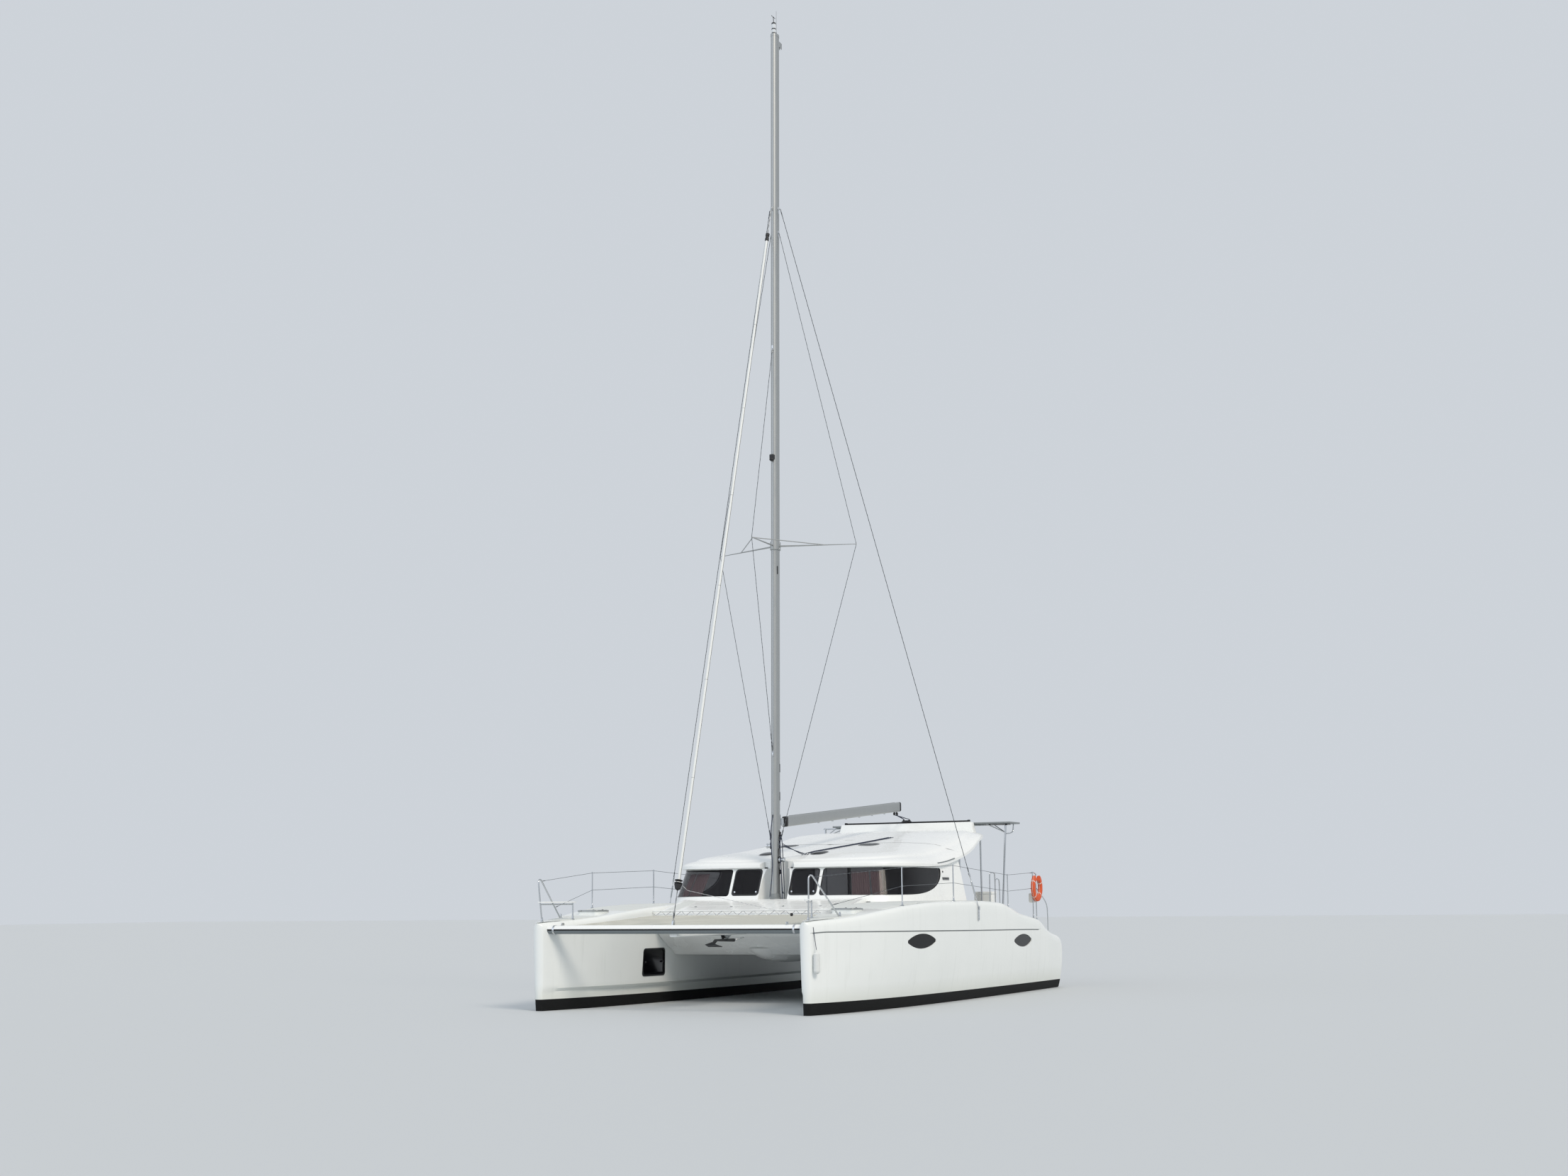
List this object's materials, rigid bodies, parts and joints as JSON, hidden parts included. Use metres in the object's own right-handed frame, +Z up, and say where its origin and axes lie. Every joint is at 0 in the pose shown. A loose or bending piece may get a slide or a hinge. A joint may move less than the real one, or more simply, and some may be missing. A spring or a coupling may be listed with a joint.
{
  "type": "sailing catamaran",
  "caption": "Twin-hulled cruising sailing yacht with a bridge deck saloon, a hardtop over the cockpit, a forward net and a tall stayed mast with its boom.",
  "frame": {"origin": "on the waterline, on the centreline, halfway between the stems and the transoms", "axes": "+X forward towards the bows, +Y to port, +Z up along the mast"},
  "size_m": [13.0949, 7.5636, 23.57],
  "materials": {
    "gelcoat": "white gelcoat over glass fibre, polished",
    "antifouling": "black antifouling paint, matt",
    "tinted_acrylic": "dark tinted acrylic, polished",
    "engine_iron": "grey engine enamel",
    "drive_paint": "grey paint on a cast housing",
    "bronze": "cast bronze, dulled by sea water",
    "dark_plastic": "black moulded plastic and black anodised track",
    "spar_aluminium": "clear anodised extrusion",
    "stainless": "polished stainless steel",
    "net_cord": "knotted white polyester net",
    "fender_vinyl": "white inflated vinyl",
    "orange_cover": "orange coated cloth over foam",
    "solar_panel": "dark solar cells in an aluminium frame on stainless poles",
    "upholstery": "beige woven cushion covers over moulded seats",
    "teak": "varnished teak veneer"
  },
  "bodies": {
    "boat": {"hull_port": "gelcoat", "hull_starboard": "gelcoat", "bridgedeck": "gelcoat", "coachroof": "gelcoat", "aft_bulkhead": "gelcoat", "hardtop": "gelcoat", "helm_console": "gelcoat", "hull_window_port_fore": "tinted_acrylic", "hull_window_port_aft": "tinted_acrylic", "hull_window_starboard_fore": "tinted_acrylic", "hull_window_starboard_aft": "tinted_acrylic", "escape_hatch_port": "tinted_acrylic", "escape_hatch_starboard": "tinted_acrylic", "window_long_port": "tinted_acrylic", "window_long_starboard": "tinted_acrylic", "window_opening_port": "tinted_acrylic", "window_opening_starboard": "tinted_acrylic", "engine_port": "engine_iron", "engine_starboard": "engine_iron", "keel_port": "antifouling", "keel_starboard": "antifouling", "saildrive_port": "drive_paint", "saildrive_starboard": "drive_paint", "traveller": "dark_plastic", "mast": "spar_aluminium", "spreaders": "spar_aluminium", "forestay": "spar_aluminium", "crossbeam": "spar_aluminium", "longeron": "spar_aluminium", "diamond_stay_port": "stainless", "diamond_stay_starboard": "stainless", "jumper_stay": "stainless", "shroud_port": "stainless", "shroud_starboard": "stainless", "anchor": "stainless", "pulpit_port": "stainless", "pulpit_starboard": "stainless", "lifelines_port": "stainless", "lifelines_starboard": "stainless", "trampoline": "net_cord", "fender": "fender_vinyl", "lifebuoy": "orange_cover", "stern_arch": "solar_panel", "cockpit_settee": "upholstery", "saloon_settee": "upholstery", "helm_seat": "upholstery", "cockpit_table": "teak", "saloon_table": "teak", "galley": "teak"},
    "boom": {"boom": "spar_aluminium"},
    "wheel": {"steering_wheel": "stainless"},
    "rudder_port": {"rudder_port": "antifouling"},
    "rudder_starboard": {"rudder_starboard": "antifouling"},
    "propeller_port": {"propeller_port": "bronze"},
    "propeller_starboard": {"propeller_starboard": "bronze"},
    "door": {"saloon_door": "tinted_acrylic"},
    "engine_hatch_port": {"engine_hatch_port": "gelcoat"},
    "engine_hatch_starboard": {"engine_hatch_starboard": "gelcoat"},
    "deck_hatch_port": {"deck_hatch_port": "tinted_acrylic"},
    "deck_hatch_starboard": {"deck_hatch_starboard": "tinted_acrylic"}
  },
  "joints": [
    {"name": "boom_swing", "type": "hinge", "parent": "boat", "child": "boom", "pos_m": [1.49, 0, 3.76], "axis": [0, 0, 1], "range_deg": [-58, 58]},
    {"name": "wheel_turn", "type": "hinge", "parent": "boat", "child": "wheel", "pos_m": [-2.462, 1.7, 2.15], "axis": [1, 0, 0], "range_deg": [-270, 270]},
    {"name": "rudder_port_turn", "type": "hinge", "parent": "boat", "child": "rudder_port", "pos_m": [-5.48, 2.9, -0.3], "axis": [0, 0, 1], "range_deg": [-35, 35]},
    {"name": "rudder_starboard_turn", "type": "hinge", "parent": "boat", "child": "rudder_starboard", "pos_m": [-5.48, -2.9, -0.3], "axis": [0, 0, 1], "range_deg": [-35, 35]},
    {"name": "propeller_port_spin", "type": "hinge", "parent": "boat", "child": "propeller_port", "pos_m": [-4.62, 2.9, -0.86], "axis": [1, 0, 0], "continuous": true},
    {"name": "propeller_starboard_spin", "type": "hinge", "parent": "boat", "child": "propeller_starboard", "pos_m": [-4.62, -2.9, -0.86], "axis": [1, 0, 0], "continuous": true},
    {"name": "door_slide", "type": "slide", "parent": "boat", "child": "door", "axis": [0, -1, 0], "range_m": [0, 0.82]},
    {"name": "engine_hatch_port_lift", "type": "hinge", "parent": "boat", "child": "engine_hatch_port", "pos_m": [-3.86, 2.9, 1.666], "axis": [0, 1, 0], "range_deg": [0, 70]},
    {"name": "engine_hatch_starboard_lift", "type": "hinge", "parent": "boat", "child": "engine_hatch_starboard", "pos_m": [-3.86, -2.9, 1.666], "axis": [0, 1, 0], "range_deg": [0, 70]},
    {"name": "deck_hatch_port_lift", "type": "hinge", "parent": "boat", "child": "deck_hatch_port", "pos_m": [4.75, 2.86, 1.9395], "axis": [0, 1, 0], "range_deg": [0, 80]},
    {"name": "deck_hatch_starboard_lift", "type": "hinge", "parent": "boat", "child": "deck_hatch_starboard", "pos_m": [4.75, -2.86, 1.9395], "axis": [0, 1, 0], "range_deg": [0, 80]}
  ],
  "couplings": [
    {"joint": "rudder_port_turn", "follows": "wheel_turn", "ratio": 0.12},
    {"joint": "rudder_starboard_turn", "follows": "wheel_turn", "ratio": 0.12}
  ]
}
